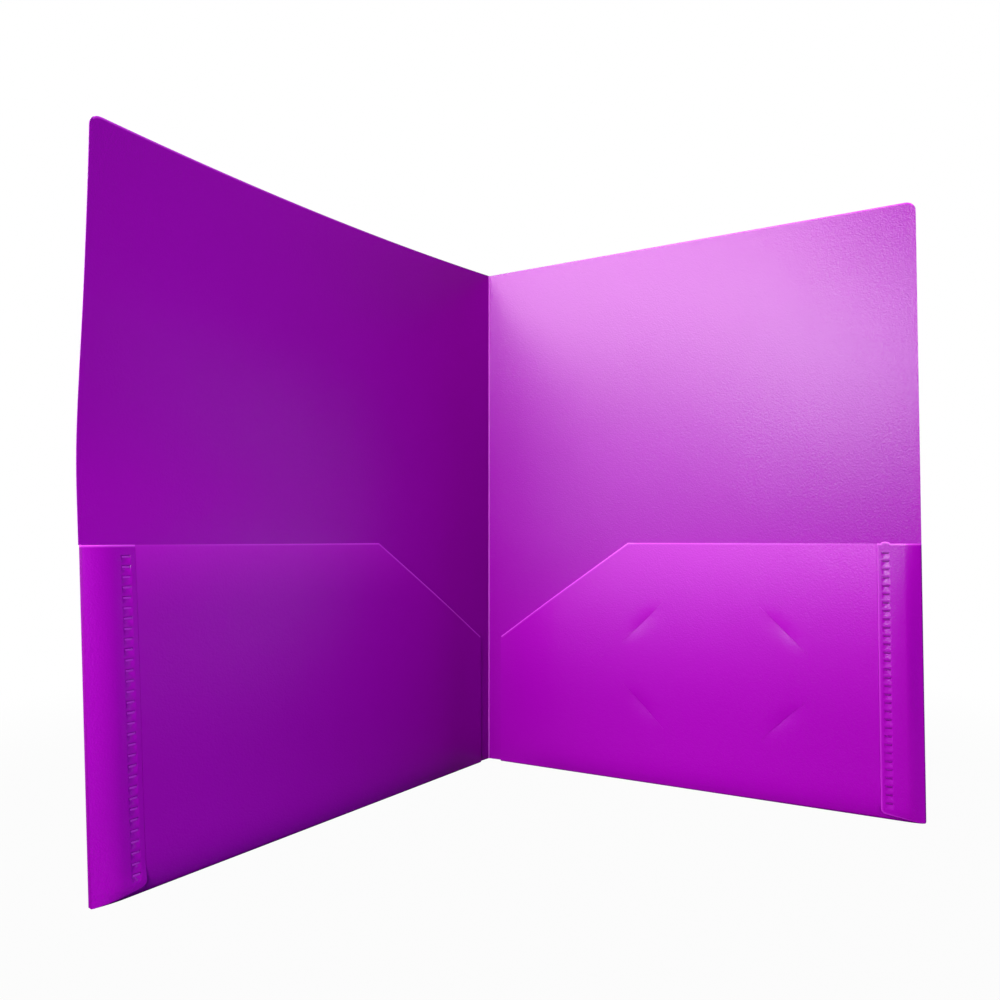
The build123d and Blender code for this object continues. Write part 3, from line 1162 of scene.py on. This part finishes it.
def floor_material():
    """Pale floor: white to the camera and to mirrors, with the folder's shadow near it."""
    studio = bpy.context.scene.folder_studio
    material = bpy.data.materials.new("pale_floor")
    material.use_nodes = True
    tree = material.node_tree
    nodes = tree.nodes
    links = tree.links
    shader = nodes["Principled BSDF"]
    shader.inputs["Base Color"].default_value = (*studio.floor, 1)
    shader.inputs["Roughness"].default_value = FLOOR_ROUGHNESS
    shader.inputs["Specular IOR Level"].default_value = 0
    position = nodes.new("ShaderNodeTexCoord").outputs["Object"]
    distance = nodes.new("ShaderNodeVectorMath")
    distance.operation = "LENGTH"
    links.new(position, distance.inputs[0])
    fade = ramp(tree, distance.outputs["Value"], studio.shadow_reach / 2, studio.shadow_reach)
    fade.interpolation_type = "SMOOTHSTEP"
    fade.inputs["To Min"].default_value = studio.floor_white
    seen = seen_directly(tree, behind_folder(tree, position, studio.shadow_reach))
    white = nodes.new("ShaderNodeEmission")
    mix = nodes.new("ShaderNodeMixShader")
    links.new(combine(tree, "MULTIPLY", seen, fade.outputs["Result"]), mix.inputs["Fac"])
    links.new(shader.outputs[0], mix.inputs[1])
    links.new(white.outputs[0], mix.inputs[2])
    links.new(mix.outputs[0], nodes["Material Output"].inputs["Surface"])
    return material


def add_light(name, place_at, power, size, tint=(1, 1, 1), mirrored=True):
    """Softbox or card that faces the folder, and is mirrored in its sheen or too dull for that."""
    lamp = bpy.data.lights.new(name, "AREA")
    lamp.shape = "RECTANGLE"
    lamp.energy = power
    lamp.color = tint
    lamp.size, lamp.size_y = size
    light = add_object(name, lamp)
    light.visible_camera = False
    light.visible_glossy = mirrored
    light.location = place_at
    light.rotation_euler = (UP * COVER_HEIGHT / 2 - Vector(place_at)).to_track_quat("-Z", "Y").to_euler()


def add_floor():
    """Plain floor under the folder."""
    bm = bmesh.new()
    bmesh.ops.create_grid(bm, x_segments=1, y_segments=1, size=FLOOR_HALF)
    floor = add_mesh(bm, "floor", floor_material())


def add_surroundings(studio):
    """Faint light from all round, which the camera sees as a white backdrop."""
    world = bpy.data.worlds.new("studio")
    world.use_nodes = True
    bpy.context.scene.world = world
    tree = world.node_tree
    background = tree.nodes["Background"]
    background.inputs["Color"].default_value = (1, 1, 1, 1)
    strength = tree.nodes.new("ShaderNodeMix")
    strength.inputs["A"].default_value = studio.ambient
    strength.inputs["B"].default_value = 1
    direction = tree.nodes.new("ShaderNodeTexCoord")
    backdrop = behind_folder(tree, direction.outputs["Generated"], HORIZON_FADE)
    tree.links.new(seen_directly(tree, backdrop), strength.inputs["Factor"])
    tree.links.new(strength.outputs["Result"], background.inputs["Strength"])


def add_lights(studio):
    """Lights in front of the folder, and a softbox behind each cover."""
    tints = {"key": studio.key_tint, "side": studio.side_tint}
    for name in LIGHTS:
        place_at, power, size = (getattr(studio, f"{name}_{part}") for part in ("place", "power", "size"))
        add_light(name, place_at, power, size, tints.get(name, studio.fill_tint), name not in DULL_CARDS)
    for side, name in SIDES.items():
        place_at = Vector(studio.rear_place) * Vector((side, 1, 1))
        add_light(f"{name}_rear", place_at, studio.rear_power, studio.rear_size)


def add_camera(studio):
    """Camera at the place from which the folder is seen."""
    camera_data = bpy.data.cameras.new("camera")
    camera_data.sensor_width = SENSOR_WIDTH
    camera_data.lens = studio.camera_lens
    camera_data.shift_x, camera_data.shift_y = studio.camera_shift
    camera_data.clip_start = NEAREST_SEEN
    camera = add_object("camera", camera_data)
    camera.location = studio.camera_place
    camera.rotation_euler = (pi / 2 + studio.camera_pitch, 0, -studio.camera_heading)
    bpy.context.scene.camera = camera


class FOLDER_OT_stage(bpy.types.Operator):
    """Build the floor, the lights and the camera"""

    bl_idname = "folder.stage"
    bl_label = "Stage"

    def execute(self, context):
        studio = context.scene.folder_studio
        add_floor()
        add_surroundings(studio)
        add_lights(studio)
        add_camera(studio)
        context.scene.view_settings.view_transform = "Standard"
        return {"FINISHED"}


# Panel and registration

OPERATORS = (
    FOLDER_OT_covers,
    FOLDER_OT_pockets,
    FOLDER_OT_folds,
    FOLDER_OT_flaps,
    FOLDER_OT_welds,
    FOLDER_OT_spine,
    FOLDER_OT_stage,
)


class FOLDER_PT_panel(bpy.types.Panel):
    """Lists the folder's pieces and its sizes"""

    bl_idname = "FOLDER_PT_panel"
    bl_label = "Two Pocket Folder"
    bl_space_type = "VIEW_3D"
    bl_region_type = "UI"
    bl_category = "Folder"

    def draw(self, context):
        for operator in OPERATORS:
            self.layout.operator(operator.bl_idname)
        for group_name, group in GROUPS.items():
            box = self.layout.box()
            box.label(text=group.__doc__)
            for name in group.__annotations__:
                box.prop(getattr(context.scene, group_name), name)


def register():
    for group_name, group in GROUPS.items():
        bpy.utils.register_class(group)
        setattr(bpy.types.Scene, group_name, PointerProperty(type=group))
    for kind in (*OPERATORS, FOLDER_PT_panel):
        bpy.utils.register_class(kind)


def unregister():
    for kind in (FOLDER_PT_panel, *reversed(OPERATORS)):
        bpy.utils.unregister_class(kind)
    for group_name, group in GROUPS.items():
        delattr(bpy.types.Scene, group_name)
        bpy.utils.unregister_class(group)


def main():
    """Build the folder and its stage."""
    register()
    bpy.ops.folder.covers()
    bpy.ops.folder.pockets()
    bpy.ops.folder.folds()
    bpy.ops.folder.flaps()
    bpy.ops.folder.welds()
    bpy.ops.folder.spine()
    bpy.ops.folder.stage()


if __name__ == "__main__":
    main()
